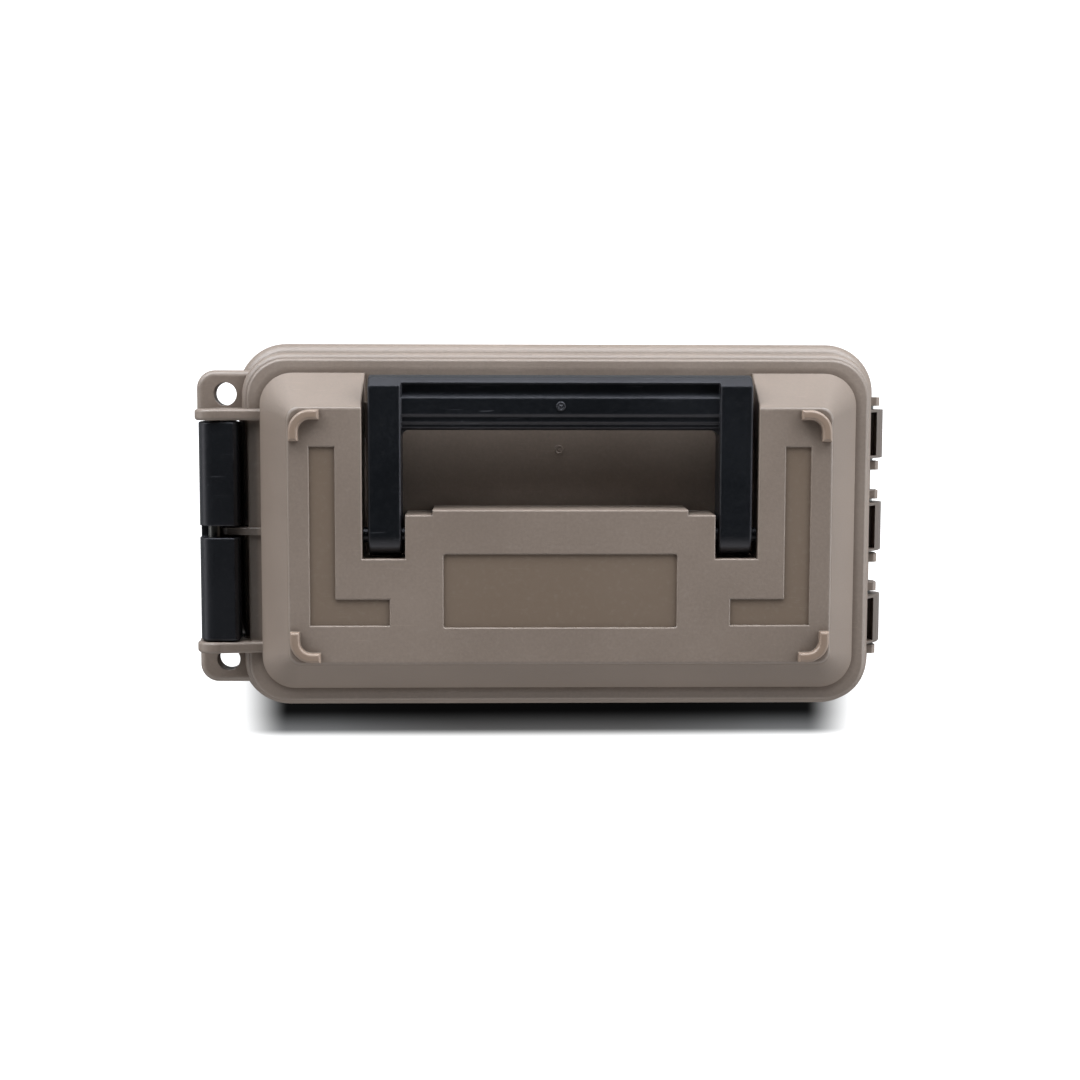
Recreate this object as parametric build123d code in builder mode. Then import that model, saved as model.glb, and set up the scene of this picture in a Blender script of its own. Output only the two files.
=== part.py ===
from build123d import *
import os
from math import radians, tan

# A moulded plastic ammunition can: a tapered tub, a domed lid hinged at +X and
# latched at -X, and a bail handle that folds down into a pocket in the lid.
# Origin: centre of the base's resting face. +Z up, +X to the hinge, +Y to the
# side where the folded handle's grip lies. Millimetres.

os.makedirs("parts", exist_ok=True)

# heights above the resting face
lid_top = 180.0
seam = 133.5
seam_gap = 0.4
lid_low = seam + seam_gap
wall = 3.0

# tub
base_x, base_y, base_r = 118.0, 61.5, 13.0
draft = 2.0
floor_thick = 3.5
base_round = 3.0
collar_x, collar_y, collar_r = 131.9, 75.4, 20.0
collar_low = seam - 12.0
collar_plate, collar_round = 4.0, 5.5
tongue_x, tongue_y, tongue_r = 123.4, 66.9, 15.0
tongue_high = 9.0
panel_long, panel_high, panel_depth = 168.0, 66.0, 1.2
panel_mid_z = 58.0
gusset_thick = 2.5

# corner ribs on the lid, and the pockets under the base that they stack into
rib_x, rib_y, rib_r = 105.7, 49.5, 8.5
rib_wide, rib_high, rib_round = 3.8, 2.8, 1.2
rib_end_x, rib_end_y = 93.8, 37.3
stack_slack = 3.0
stack_deep = rib_high + 0.8

# lid: rim, flange, dome
rim_x, rim_y, rim_r = 128.3, 71.7, 17.5
rim_top, rim_round = 148.0, 3.5
flange_x, flange_y, flange_r = 125.0, 69.2, 15.5
flange_top, flange_edge_z, flange_round = 156.3, 155.7, 1.3
crown_x, crown_y, crown_r, crown_round = 121.4, 65.4, 14.0, 7.0
foot_x, foot_y, foot_r = 119.5, 63.5, 13.0
foot_high = 1.6
face_x, face_y, face_r, face_round = 106.2, 50.2, 4.5, 1.5
seal_top = 145.8
lip_high = 3.0
lip_x, lip_y, lip_r = 119.0, 62.5, 11.0
lip_thick = 2.4
inner_x, inner_y, inner_r = 116.3, 60.3, 10.0
recess_depth, lip_round = 0.8, 0.5
l_out_x, l_in_x, l_end_x, l_y, l_step_y = 98.0, 88.0, 66.8, 35.1, -24.7
panel_x, panel_half, panel_y = 45.8, 14.5, -21.4
gasket_x, gasket_y, gasket_r, gasket_wide, gasket_high = 123.9, 67.4, 15.5, 4.5, 3.2

# handle pocket and handle
pocket_x = 77.5
pocket_floor, pocket_round = flange_top, 0.6
slot_in_x = 60.7
slot_end_y = -8.8
boss_x, boss_y, boss_side_y = 50.0, 10.4, 8.4
arm_in_x, arm_out_x = 62.2, 75.1
arm_end_r = 8.0
pivot_z = 171.5
grip_out_y, grip_in_y = 62.9, 41.4
arm_top = pivot_z + arm_end_r
arm_low = pivot_z - arm_end_r
handle_pin_r = 3.0
pin_slack = 0.06
boss_r, boss_out = 6.0, 7.0
handle_pin_mid, handle_pin_long = 69.1, 27.0
inner_fillet, edge_round = 3.0, 1.0
core_pitch, core_count, core_deep = 24.0, 5, 9.0

# latch
latch_x, latch_z = -138.5, 153.6
latch_pin_r = 2.75
lever_half = 44.1
ear_in_y, ear_out_y = 44.6, 49.1
ear_r, ear_round = 7.5, 1.2
lever_r = 6.0
lever_thick = 3.0
lever_low = 97.0
lever_in_x = -128.4
lever_side, lever_round = 2.4, 0.8
lever_gap_half, lever_gap_low = 2.5, 3.1
grip_count, grip_pitch = 4, 4.0
catch_x, catch_z, catch_half = -139.6, 117.5, 36.0
latch_rib_half = 1.4

# padlock tabs
tab_out_x, tab_root_x, tab_out_y, tab_in_y = -147.9, -112.0, 64.5, 46.6
tab_thick, tab_round, tab_corner = 4.3, 2.6, 7.5
padlock_x, padlock_y, padlock_r, padlock_relief = -136.1, 54.8, 4.75, 0.4

# hinge
hinge_x, hinge_z = 131.6, 126.0
hinge_rows = {"front": -38.7, "middle": 0.0, "rear": 38.7}
knuckle_half, knuckle_r = 10.0, 5.4
knuckle_slot_in, knuckle_slot_out, knuckle_end = 129.2, 132.7, 1.0
hinge_ear_in, hinge_ear_out, hinge_ear_r = 11.5, 15.1, 3.0
hinge_pin_r = 1.6
notch_x = 125.0


def side_plane(y):
    """A plane across the can at y: local x is +X and local y is +Z."""
    return Plane((0, y, 0), x_dir=(1, 0, 0), z_dir=(0, -1, 0))


def rounded(half_x, half_y, radius, mode=Mode.ADD):
    RectangleRounded(2 * half_x, 2 * half_y, radius, mode=mode)


def tub_half_y(z):
    return base_y + z * tan(radians(draft))


# padlock tabs seen from above, each with its outer corner rounded
with BuildSketch() as tab_plan:
    corner_x, corner_y = tab_out_x + tab_corner, tab_out_y - tab_corner
    with BuildLine():
        Polyline(
            (corner_x, tab_out_y),
            (tab_root_x, tab_out_y),
            (tab_root_x, tab_in_y),
            (tab_out_x, tab_in_y),
            (tab_out_x, corner_y),
        )
        RadiusArc((tab_out_x, corner_y), (corner_x, tab_out_y), tab_corner)
    make_face()
    mirror(about=Plane.XZ)


def padlock_holes(top_z, radius=padlock_r, deep=tab_thick):
    with Locations((padlock_x, padlock_y, top_z), (padlock_x, -padlock_y, top_z)):
        Cylinder(radius, deep, align=(Align.CENTER, Align.CENTER, Align.MAX), mode=Mode.SUBTRACT)


def hinge_ear_outline():
    Polygon(
        (120.0, hinge_z - 9),
        (hinge_x, hinge_z - hinge_ear_r),
        (hinge_x + hinge_ear_r, hinge_z - 1),
        (hinge_x + hinge_ear_r, seam - 2.5),
        (hinge_x + 1.5, seam - 1.0),
        (120.0, seam - 1.0),
        align=None,
    )


# the tub's padlock tabs
with BuildPart() as tub_tabs:
    with BuildSketch(Plane.XY.offset(seam - tab_thick)):
        add(tab_plan.sketch)
    extrude(amount=tab_thick)
    fillet(tub_tabs.edges().group_by(Axis.Z)[0], tab_round)

with BuildPart() as body_tub:
    with BuildSketch():
        rounded(base_x, base_y, base_r)
    extrude(amount=seam, taper=-draft)
    fillet(body_tub.faces().sort_by(Axis.Z)[0].edges(), base_round)

    # collar with an open trough under it
    with BuildSketch(Plane.XY.offset(collar_low)):
        rounded(collar_x, collar_y, collar_r)
    extrude(amount=seam - collar_low)
    fillet(body_tub.faces().sort_by(Axis.Z)[-1].edges(), collar_round)
    trough_in_y = tub_half_y(seam) + 0.2
    trough_in_x = trough_in_y - base_y + base_x
    with BuildSketch(Plane.XY.offset(collar_low)):
        rounded(collar_x - wall, collar_y - wall, collar_r - wall)
        rounded(trough_in_x, trough_in_y, base_r + 4, mode=Mode.SUBTRACT)
    extrude(amount=seam - collar_low - collar_plate, mode=Mode.SUBTRACT)

    # tongue that the gasket seals on
    with BuildSketch(Plane.XY.offset(seam)):
        rounded(tongue_x, tongue_y, tongue_r)
    extrude(amount=tongue_high)
    fillet(body_tub.faces().sort_by(Axis.Z)[-1].edges(), 0.8)

    # gussets under the collar, on the long sides
    for x in (-96.0, -48.0, 0.0, 48.0, 96.0):
        for side in (-1, 1):
            with BuildSketch(Plane.YZ.offset(x)):
                Polygon(
                    (side * (tub_half_y(100) - 1), 100.0),
                    (side * (tub_half_y(100) - 1), seam - collar_plate + 1),
                    (side * (collar_y - wall + 1), seam - collar_plate + 1),
                    (side * (collar_y - wall + 1), collar_low),
                    align=None,
                )
            extrude(amount=gusset_thick / 2, both=True)

    # latch catch on the -X end
    with BuildSketch(side_plane(0)):
        Polygon(
            (-118.0, catch_z - 14),
            (catch_x + 3, catch_z - 4.5),
            (catch_x, catch_z - 2.2),
            (catch_x, catch_z + 1.5),
            (catch_x + 1.5, catch_z + 3.0),
            (-118.0, catch_z + 3.0),
            align=None,
        )
    extrude(amount=catch_half, both=True)

    # padlock tabs, with the collar cut back under them so that a shackle passes
    add(tub_tabs.part)
    padlock_holes(seam)
    padlock_holes(seam - tab_thick, padlock_r + padlock_relief, seam - tab_thick - collar_low + 1)

    # a notch in the collar for each of the lid's knuckles, and an ear each side
    for row in hinge_rows.values():
        with BuildSketch(Plane.XY.offset(collar_low - 8)):
            with Locations(((notch_x + 140.0) / 2, row)):
                Rectangle(140.0 - notch_x, 2 * hinge_ear_in)
        extrude(amount=seam - collar_low + 10, mode=Mode.SUBTRACT)
        for side in (-1, 1):
            with BuildSketch(side_plane(row + side * (hinge_ear_in + hinge_ear_out) / 2)):
                hinge_ear_outline()
            extrude(amount=(hinge_ear_out - hinge_ear_in) / 2, both=True)

    # inside
    with BuildSketch(Plane.XY.offset(floor_thick)):
        rounded(base_x - wall, base_y - wall, base_r - wall)
    extrude(amount=seam + tongue_high, taper=-draft, mode=Mode.SUBTRACT)

    # steps in the inner corners, which leave room for the stacking pockets under them
    with BuildSketch(Plane.XY.offset(floor_thick - 1)):
        rounded(base_x - 1.5, base_y - 1.5, base_r - 1.5)
        Rectangle(2 * (rib_end_x - 2 * stack_slack), 4 * base_y, mode=Mode.SUBTRACT)
        Rectangle(4 * base_x, 2 * (rib_end_y - 2 * stack_slack), mode=Mode.SUBTRACT)
    extrude(amount=stack_deep + 1)
    with BuildSketch():
        rounded(rib_x + stack_slack, rib_y + stack_slack, rib_r)
        Rectangle(2 * (rib_end_x - stack_slack), 4 * base_y, mode=Mode.SUBTRACT)
        Rectangle(4 * base_x, 2 * (rib_end_y - stack_slack), mode=Mode.SUBTRACT)
    extrude(amount=stack_deep, mode=Mode.SUBTRACT)

    # shallow panel in each long side
    for side in (-1, 1):
        wall_plane = Plane(
            (0, side * tub_half_y(panel_mid_z), panel_mid_z),
            x_dir=(1, 0, 0),
            z_dir=(0, side, -tan(radians(draft))),
        )
        with BuildSketch(wall_plane):
            RectangleRounded(panel_long, panel_high, 8.0)
        extrude(amount=-panel_depth, mode=Mode.SUBTRACT)

    # hinge pin bores
    for row in hinge_rows.values():
        with Locations((hinge_x, row, hinge_z)):
            Cylinder(hinge_pin_r, 2 * hinge_ear_out + 1, rotation=(90, 0, 0), mode=Mode.SUBTRACT)

# hollow inside of the lid, less the block that the handle pocket is cut in
with BuildPart() as lid_hollow:
    with BuildSketch(Plane.XY.offset(seam - 10)):
        rounded(rim_x - wall, rim_y - wall, rim_r - wall)
    extrude(amount=seal_top - seam + 10)
    with BuildSketch(Plane.XY.offset(seal_top - lip_high)):
        rounded(lip_x, lip_y, lip_r)
        rounded(lip_x - lip_thick, lip_y - lip_thick, lip_r - lip_thick, mode=Mode.SUBTRACT)
    extrude(amount=lip_high, mode=Mode.SUBTRACT)
    with BuildSketch(Plane.XY.offset(seal_top - 1)):
        rounded(inner_x, inner_y, inner_r)
    extrude(amount=flange_top - seal_top - 1)
    with BuildSketch(Plane.XY.offset(flange_top - 2)):
        rounded(inner_x, inner_y, inner_r)
    with BuildSketch(Plane.XY.offset(lid_top - wall)):
        rounded(face_x - wall, face_y - wall, face_r)
    loft()
    with BuildSketch(Plane.XY.offset(pocket_floor - wall)):
        with Locations((0, boss_side_y - wall)):
            Rectangle(2 * (pocket_x + wall), 100.0, align=(Align.CENTER, Align.MIN))
        for side in (-1, 1):
            with Locations((side * (pocket_x + slot_in_x) / 2, slot_end_y - wall)):
                Rectangle(pocket_x - slot_in_x + 2 * wall, 60.0, align=(Align.CENTER, Align.MIN))
    extrude(amount=40.0, mode=Mode.SUBTRACT)
    # bosses that hold the handle's pins
    for side in (-1, 1):
        with Locations((side * pocket_x, 0, pivot_z)):
            Cylinder(boss_r, 2 * boss_out, rotation=(0, 90, 0), mode=Mode.SUBTRACT)
        with Locations((side * slot_in_x, 0, pivot_z)):
            Cylinder(boss_r, 2 * boss_out, rotation=(0, 90, 0), mode=Mode.SUBTRACT)

# the lid's padlock tabs, with a rolled edge
with BuildPart() as padlock_tabs:
    with BuildSketch(Plane.XY.offset(lid_low)):
        add(tab_plan.sketch)
    extrude(amount=tab_thick)
    fillet(padlock_tabs.edges().group_by(Axis.Z)[-1], tab_round)
    padlock_holes(lid_low + tab_thick)

# the lid's ears for the latch pin
with BuildPart() as latch_ears:
    for side in (-1, 1):
        with BuildSketch(side_plane(side * (ear_in_y + ear_out_y) / 2)):
            Polygon(
                (-108.0, lid_low),
                (-108.0, flange_top + 1.5),
                (-120.0, flange_top + 2.0),
                (latch_x + 2.6, latch_z + ear_r - 0.5),
                (latch_x, latch_z),
                (latch_x - 4.5, latch_z - 5.2),
                (latch_x - 3.0, lid_low),
                align=None,
            )
            with Locations((latch_x, latch_z)):
                Circle(ear_r)
        extrude(amount=(ear_out_y - ear_in_y) / 2, both=True)
    fillet(latch_ears.edges().filter_by(lambda e: e.bounding_box().size.Y < 0.01), ear_round)

with BuildPart() as lid_shell:
    # rim, flange and dome
    with BuildSketch(Plane.XY.offset(lid_low)):
        rounded(rim_x, rim_y, rim_r)
    extrude(amount=rim_top - lid_low)
    fillet(lid_shell.edges().group_by(Axis.Z)[-1], rim_round)
    with BuildSketch(Plane.XY.offset(rim_top - 1)):
        rounded(flange_x, flange_y, flange_r)
    extrude(amount=flange_edge_z - rim_top + 1)
    with BuildSketch(Plane.XY.offset(flange_edge_z)):
        rounded(flange_x, flange_y, flange_r)
    with BuildSketch(Plane.XY.offset(flange_top)):
        rounded(crown_x, crown_y, crown_r)
    loft()
    fillet(lid_shell.edges().group_by(Axis.Z)[-1], crown_round)
    fillet(lid_shell.edges().filter_by(lambda e: abs(e.center().Z - flange_edge_z) < 0.01), flange_round)
    with BuildSketch(Plane.XY.offset(flange_top - 1)):
        rounded(foot_x, foot_y, foot_r)
    extrude(amount=foot_high + 1)
    with BuildSketch(Plane.XY.offset(flange_top + foot_high)):
        rounded(foot_x, foot_y, foot_r)
    with BuildSketch(Plane.XY.offset(lid_top)):
        rounded(face_x, face_y, face_r)
    loft()
    fillet(lid_shell.faces().sort_by(Axis.Z)[-1].edges(), face_round)

    add(padlock_tabs.part)

    # latch ears, and the thin rib that backs the latch pin between them
    add(latch_ears.part)
    with BuildSketch(side_plane(0)):
        Polygon(
            (-108.0, rim_top - 4),
            (-108.0, flange_top + 1.2),
            (-121.0, flange_top + 1.2),
            (latch_x + 5.0, latch_z + 2.0),
            (latch_x + 1.5, latch_z),
            (latch_x + 5.0, latch_z - 2.5),
            (-126.0, rim_top - 4),
            align=None,
        )
    extrude(amount=latch_rib_half, both=True)

    # knuckles of the hinge: a barrel, hung from the rim by an outer wall and two end webs
    for row in hinge_rows.values():
        with BuildSketch(side_plane(row)):
            Polygon(
                (rim_x - 1, lid_low + 0.5),
                (rim_x - 1, lid_low + 7.0),
                (rim_x + 0.8, lid_low + 6.5),
                (hinge_x + 3.2, hinge_z + 7.0),
                (hinge_x + knuckle_r, hinge_z + 1.0),
                (hinge_x, hinge_z),
                (hinge_x - 4.6, hinge_z + 1.0),
                align=None,
            )
            with Locations((hinge_x, hinge_z)):
                Circle(knuckle_r)
        extrude(amount=knuckle_half, both=True)
        with BuildSketch(Plane.XY.offset(hinge_z + 3.2)):
            with Locations(((knuckle_slot_in + knuckle_slot_out) / 2, row)):
                Rectangle(knuckle_slot_out - knuckle_slot_in, 2 * (knuckle_half - knuckle_end))
        extrude(amount=20.0, mode=Mode.SUBTRACT)

    add(lid_hollow.part, mode=Mode.SUBTRACT)

    # handle pocket: open through the +Y bevel, with a slot for each arm
    with BuildSketch(Plane.XY.offset(pocket_floor)):
        with Locations((0, slot_end_y)):
            Rectangle(2 * pocket_x, 100.0, align=(Align.CENTER, Align.MIN))
        with Locations((0, boss_side_y)):
            Rectangle(2 * slot_in_x, 60.0, align=(Align.CENTER, Align.MAX), mode=Mode.SUBTRACT)
        with Locations((0, boss_y)):
            Rectangle(2 * boss_x, 60.0, align=(Align.CENTER, Align.MAX), mode=Mode.SUBTRACT)
    extrude(amount=40.0, mode=Mode.SUBTRACT)
    fillet(
        lid_shell.edges().filter_by(
            lambda e: e.bounding_box().min.Z > lid_top - 0.01
            and e.bounding_box().min.Y > slot_end_y - 0.1
            and abs(e.center().X) < pocket_x + 0.1
            and e.center().Y < face_y - 1.6
        ),
        pocket_round,
    )
    # ledges that the folded arms rest on
    for side in (-1, 1):
        with BuildSketch(Plane.XY.offset(pocket_floor - 1)):
            with Locations((side * (pocket_x + arm_out_x - 4.0) / 2, 45.0)):
                Rectangle(pocket_x - arm_out_x + 5.0, 14.0)
        extrude(amount=arm_low - pocket_floor + 1 - 0.3)

    # shallow recesses in the top: one L each end, and a blank name panel
    with BuildSketch(Plane.XY.offset(lid_top)):
        for side in (-1, 1):
            with BuildLine():
                Polyline(
                    (side * l_out_x, l_y),
                    (side * l_in_x, l_y),
                    (side * l_in_x, l_step_y),
                    (side * l_end_x, l_step_y),
                    (side * l_end_x, -l_y),
                    (side * l_out_x, -l_y),
                    close=True,
                )
            make_face()
        with Locations((0, panel_y)):
            RectangleRounded(2 * panel_x, 2 * panel_half, 1.0)
    recesses = extrude(amount=-recess_depth, mode=Mode.SUBTRACT)
    lips = recesses.edges().filter_by(lambda e: e.bounding_box().min.Z > lid_top - 0.01)
    fillet(
        lid_shell.edges().filter_by(lambda e: any((e.center() - lip.center()).length < 0.01 for lip in lips)),
        lip_round,
    )

    # corner ribs that locate the can stacked on top
    with BuildSketch(Plane.XY.offset(lid_top - 1)):
        rounded(rib_x, rib_y, rib_r)
        rounded(rib_x - rib_wide, rib_y - rib_wide, rib_r - rib_wide, mode=Mode.SUBTRACT)
        Rectangle(2 * rib_end_x, 4 * rib_y, mode=Mode.SUBTRACT)
        Rectangle(4 * rib_x, 2 * rib_end_y, mode=Mode.SUBTRACT)
    extrude(amount=rib_high + 1)
    fillet(lid_shell.edges().group_by(Axis.Z)[-1], rib_round)

    # bores for the pins
    with Locations((latch_x, 0, latch_z)):
        Cylinder(latch_pin_r, 2 * ear_out_y + 2, rotation=(90, 0, 0), mode=Mode.SUBTRACT)
    for row in hinge_rows.values():
        with Locations((hinge_x, row, hinge_z)):
            Cylinder(hinge_pin_r + pin_slack, 2 * hinge_ear_out, rotation=(90, 0, 0), mode=Mode.SUBTRACT)
    for side in (-1, 1):
        with Locations((side * handle_pin_mid, 0, pivot_z)):
            Cylinder(handle_pin_r, handle_pin_long, rotation=(0, 90, 0), mode=Mode.SUBTRACT)

with BuildPart() as lid_gasket:
    with BuildSketch(Plane.XY.offset(seal_top - gasket_high)):
        rounded(gasket_x, gasket_y, gasket_r)
        rounded(gasket_x - gasket_wide, gasket_y - gasket_wide, gasket_r - gasket_wide, mode=Mode.SUBTRACT)
    extrude(amount=gasket_high - 0.1)
    fillet(lid_gasket.edges().group_by(Axis.Z)[0], 0.8)

with BuildPart() as carry_handle:
    # U seen from above
    with BuildSketch(Plane.XY.offset(arm_low - 1)):
        with Locations((0, grip_out_y)):
            Rectangle(2 * arm_out_x, grip_out_y + 20, align=(Align.CENTER, Align.MAX))
        with BuildSketch(mode=Mode.SUBTRACT):
            with Locations((0, grip_in_y)):
                RectangleRounded(2 * arm_in_x, 100.0, inner_fillet, align=(Align.CENTER, Align.MAX))
    extrude(amount=2 * arm_end_r + 2)
    # side outline of the arms
    with BuildSketch(Plane.YZ):
        with BuildLine():
            Polyline(
                (0, arm_low),
                (grip_out_y - 2.0, arm_low),
                (grip_out_y, arm_low + 2.0),
                (grip_out_y, lid_top - 7.5),
                (grip_out_y - 0.9, lid_top - 4.4),
                (grip_out_y - 4.2, arm_top),
                (0, arm_top),
            )
            RadiusArc((0, arm_top), (0, arm_low), -arm_end_r)
        make_face()
    extrude(amount=2 * arm_out_x, both=True, mode=Mode.INTERSECT)
    # the grip lies lower than the arms, with a raised band and two steps
    with BuildSketch(Plane.YZ):
        Polygon(
            (grip_out_y - 3.1, lid_top + 1),
            (grip_out_y - 3.1, lid_top - 3.8),
            (55.9, lid_top - 3.8),
            (54.0, lid_top - 1.6),
            (47.6, lid_top - 1.6),
            (46.8, lid_top - 2.4),
            (44.6, lid_top - 2.4),
            (43.8, lid_top - 3.3),
            (42.4, lid_top - 3.3),
            (grip_in_y, lid_top - 5.0),
            (grip_in_y - 3.0, lid_top - 8.0),
            (grip_in_y - 12.0, lid_top + 1),
            align=None,
        )
    extrude(amount=arm_in_x, both=True, mode=Mode.SUBTRACT)

    side_edges = carry_handle.edges().filter_by(lambda e: e.bounding_box().size.X < 0.01)
    fillet(side_edges.group_by(Axis.X)[0] + side_edges.group_by(Axis.X)[-1], edge_round)
    fillet(
        carry_handle.edges().filter_by(
            lambda e: e.bounding_box().size.X < 0.01
            and abs(abs(e.center().X) - arm_in_x) < 0.01
            and abs(e.center().Z - arm_top) < 0.01
        ),
        edge_round,
    )
    fillet(
        carry_handle.edges().filter_by(Axis.X).filter_by(
            lambda e: e.center().Z < arm_low + 2.1 and e.center().Y > grip_in_y - 0.1
        ),
        edge_round,
    )
    # coring in the underside of the grip and arms, with cross ribs left in the grip
    with BuildSketch(Plane.XY.offset(arm_low)):
        with GridLocations(core_pitch, 0, core_count, 1):
            with Locations((0, (grip_out_y + grip_in_y) / 2)):
                RectangleRounded(core_pitch - 2.4, grip_out_y - grip_in_y - 6.4, 1.5)
        for side in (-1, 1):
            with Locations((side * (arm_in_x + arm_out_x) / 2, 34.0)):
                RectangleRounded(arm_out_x - arm_in_x - 6.0, 44.0, 1.5)
    extrude(amount=core_deep, mode=Mode.SUBTRACT)
    # pivot bores
    with Locations((0, 0, pivot_z)):
        Cylinder(handle_pin_r + pin_slack, 4 * arm_out_x, rotation=(0, 90, 0), mode=Mode.SUBTRACT)

handle_pins = {}
for name, side in (("handle_pin_left", -1), ("handle_pin_right", 1)):
    with BuildPart(Plane((side * handle_pin_mid, 0, pivot_z), z_dir=(1, 0, 0))) as handle_pin:
        Cylinder(handle_pin_r, handle_pin_long)
        chamfer(handle_pin.edges().filter_by(GeomType.CIRCLE), 0.5)
    handle_pins[name] = handle_pin

with BuildPart() as latch_pin:
    with Locations((latch_x, 0, latch_z)):
        Cylinder(latch_pin_r, 2 * ear_out_y, rotation=(90, 0, 0))
    chamfer(latch_pin.edges().filter_by(GeomType.CIRCLE), 0.5)

hinge_pins = {}
for name, row in hinge_rows.items():
    with BuildPart() as hinge_pin:
        with Locations((hinge_x, row, hinge_z)):
            Cylinder(hinge_pin_r, 2 * hinge_ear_out, rotation=(90, 0, 0))
        chamfer(hinge_pin.edges().filter_by(GeomType.CIRCLE), 0.3)
    hinge_pins["hinge_pin_" + name] = hinge_pin

with BuildPart() as latch_lever:
    plate_out_x = latch_x - lever_r
    plate_in_x = plate_out_x + lever_thick
    # front plate with a pull lip, rolled over the pin to a cap that reaches the lid's rim
    with BuildSketch(side_plane(0)):
        Polygon(
            (plate_out_x, latch_z),
            (plate_out_x, lever_low + 7.0),
            (plate_out_x - 3.5, lever_low),
            (plate_out_x - 0.4, lever_low),
            (plate_in_x, lever_low + 6.0),
            (plate_in_x, latch_z),
            align=None,
        )
        with Locations((latch_x, latch_z)):
            Circle(lever_r)
        with Locations((latch_x, latch_z + lever_r)):
            Rectangle(lever_in_x - 1.5 - latch_x, lever_thick, align=(Align.MIN, Align.MAX))
        with BuildLine():
            Polyline(
                (lever_in_x - 3.0, latch_z + lever_r),
                (lever_in_x - 3.0, latch_z - 2.5),
                (lever_in_x, latch_z - 2.5),
                (lever_in_x, latch_z + lever_r - 3.0),
            )
            RadiusArc(
                (lever_in_x, latch_z + lever_r - 3.0), (lever_in_x - 3.0, latch_z + lever_r), -3.0
            )
        make_face()
    extrude(amount=lever_half, both=True)
    lever_edges = latch_lever.edges().filter_by(lambda e: e.bounding_box().size.Y < 0.01)
    fillet(lever_edges, lever_round)
    # side walls
    for side in (-1, 1):
        with BuildSketch(side_plane(side * (lever_half - lever_side / 2))):
            Polygon(
                (plate_in_x - 1, latch_z),
                (plate_in_x - 1, lever_low + 5.0),
                (plate_in_x + 0.5, lever_low + 5.0),
                (plate_in_x + 7.0, lever_low + 20.0),
                (plate_in_x + 7.0, latch_z - 18.0),
                (lever_in_x - 0.5, latch_z - 2.5),
                (lever_in_x - 0.5, latch_z),
                align=None,
            )
        extrude(amount=lever_side / 2, both=True)
    # bead that snaps under the catch
    with BuildSketch(side_plane(0)):
        Polygon(
            (plate_in_x - 1, catch_z - 3.2),
            (catch_x - 0.4, catch_z - 3.8),
            (catch_x - 0.4, catch_z - 4.8),
            (plate_in_x - 1, catch_z - 7.5),
            align=None,
        )
    extrude(amount=catch_half - 2, both=True)
    # raised grips across the front
    for step in range(grip_count):
        with BuildSketch(side_plane(0)):
            with Locations((plate_out_x, lever_low + 12.0 + step * grip_pitch)):
                RectangleRounded(2.2, 1.8, 0.6)
        extrude(amount=lever_half - 8, both=True)
    # gap for the lid's central rib, and the pin's bore
    with Locations((latch_x, 0, latch_z)):
        Box(40.0, 2 * lever_gap_half, 2 * lever_gap_low, mode=Mode.SUBTRACT)
    with Locations((plate_in_x, 0, latch_z)):
        Box(20.0, 2 * lever_gap_half, 16.0, align=(Align.MIN, Align.CENTER, Align.CENTER), mode=Mode.SUBTRACT)
        Box(20.0, 2 * lever_gap_half, 20.0, align=(Align.CENTER, Align.CENTER, Align.MIN), mode=Mode.SUBTRACT)
    with Locations((latch_x, 0, latch_z)):
        Cylinder(latch_pin_r + pin_slack, 4 * lever_half, rotation=(90, 0, 0), mode=Mode.SUBTRACT)

nodes = {
    "body_tub": body_tub,
    "lid_shell": lid_shell,
    "lid_gasket": lid_gasket,
    "carry_handle": carry_handle,
    "latch_lever": latch_lever,
    "latch_pin": latch_pin,
    **handle_pins,
    **hinge_pins,
}
for name, made in nodes.items():
    made.part.label = name
    export_step(made.part, "parts/" + name + ".step")
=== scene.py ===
from math import cos, radians, sin

import bmesh
import bpy
from bpy.props import FloatProperty, FloatVectorProperty, PointerProperty
from mathutils import Matrix, Vector


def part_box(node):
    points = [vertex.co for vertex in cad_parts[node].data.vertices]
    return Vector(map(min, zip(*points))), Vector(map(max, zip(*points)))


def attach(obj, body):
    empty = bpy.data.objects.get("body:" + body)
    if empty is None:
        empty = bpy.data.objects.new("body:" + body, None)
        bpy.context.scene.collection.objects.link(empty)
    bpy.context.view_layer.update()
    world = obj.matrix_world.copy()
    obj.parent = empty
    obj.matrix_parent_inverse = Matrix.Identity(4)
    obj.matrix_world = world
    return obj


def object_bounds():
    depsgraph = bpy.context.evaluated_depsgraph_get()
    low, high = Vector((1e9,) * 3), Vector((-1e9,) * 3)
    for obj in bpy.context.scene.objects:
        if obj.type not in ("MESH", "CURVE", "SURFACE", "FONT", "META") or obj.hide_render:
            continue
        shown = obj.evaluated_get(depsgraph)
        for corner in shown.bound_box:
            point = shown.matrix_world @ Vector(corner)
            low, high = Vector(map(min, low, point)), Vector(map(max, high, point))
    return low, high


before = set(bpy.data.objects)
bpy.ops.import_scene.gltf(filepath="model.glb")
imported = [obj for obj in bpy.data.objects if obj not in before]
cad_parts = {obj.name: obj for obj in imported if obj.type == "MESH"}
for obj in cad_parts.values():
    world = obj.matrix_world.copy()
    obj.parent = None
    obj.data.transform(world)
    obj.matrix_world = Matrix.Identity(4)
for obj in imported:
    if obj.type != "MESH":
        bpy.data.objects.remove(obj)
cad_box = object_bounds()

bl_info = {
    "name": "Ammunition Can",
    "version": (1, 0, 0),
    "blender": (4, 5, 0),
    "location": "View3D > Sidebar > Ammo Can",
    "description": "Finishes, moulding marks and studio for a lidded plastic ammunition can",
    "category": "Object",
}

PIN_NODES = ("latch_pin", "hinge_pin_front", "hinge_pin_middle", "hinge_pin_rear")
TRUNNION_NODES = ("handle_pin_left", "handle_pin_right")

MM = 0.001
RIB_HIGH = 2.8 * MM
RECESS_DEEP = 0.8 * MM

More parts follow.
